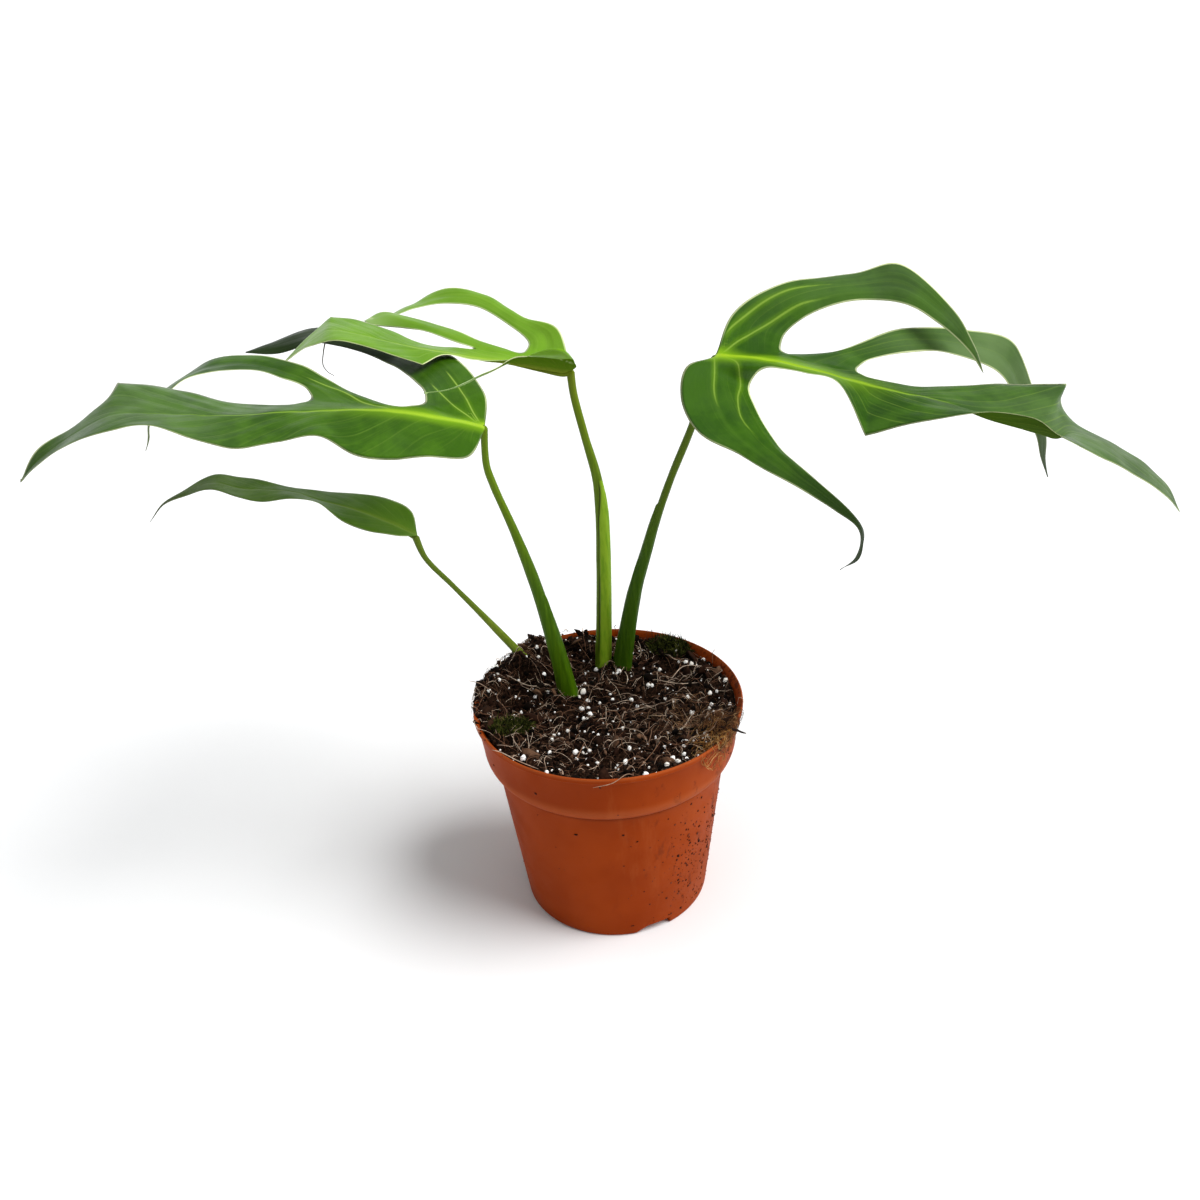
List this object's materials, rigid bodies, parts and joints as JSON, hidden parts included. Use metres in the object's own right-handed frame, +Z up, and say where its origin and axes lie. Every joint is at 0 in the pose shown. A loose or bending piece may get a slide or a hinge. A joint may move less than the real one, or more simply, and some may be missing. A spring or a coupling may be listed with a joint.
{
  "type": "potted monstera",
  "caption": "Potted monstera with long, deeply cut arching leaf blades on tall petioles, in a terracotta-coloured plastic nursery pot filled with potting mix.",
  "frame": {"origin": "middle of the pot's flat underside", "axes": "+Z up through the pot's axis; -Y towards the viewer of the front view; +X towards the right-hand blade"},
  "size_m": [0.4539, 0.1691, 0.2743],
  "materials": {
    "pot_plastic": "satin moulded terracotta-coloured plastic",
    "potting_mix": "loose dark peat and coir mix with white perlite grains",
    "stem_tissue": "corky buried stem",
    "petiole": "smooth green stalk with a paler sheath",
    "leaf_dark": "glossy green leaf with a bright midrib",
    "leaf_lime": "glossy yellow-green young leaf",
    "moss": "matt moss",
    "coir": "matt coconut fibre"
  },
  "bodies": {
    "root": {"pot": "pot_plastic", "potting_mix": "potting_mix", "rhizome": "stem_tissue", "petiole_left": "petiole", "blade_left": "leaf_dark", "petiole_middle": "petiole", "blade_middle": "leaf_lime", "petiole_right": "petiole", "blade_right": "leaf_dark", "petiole_small": "petiole", "blade_small": "leaf_dark", "moss_front": "moss", "moss_back": "moss", "coir_tuft": "coir"}
  },
  "joints": []
}
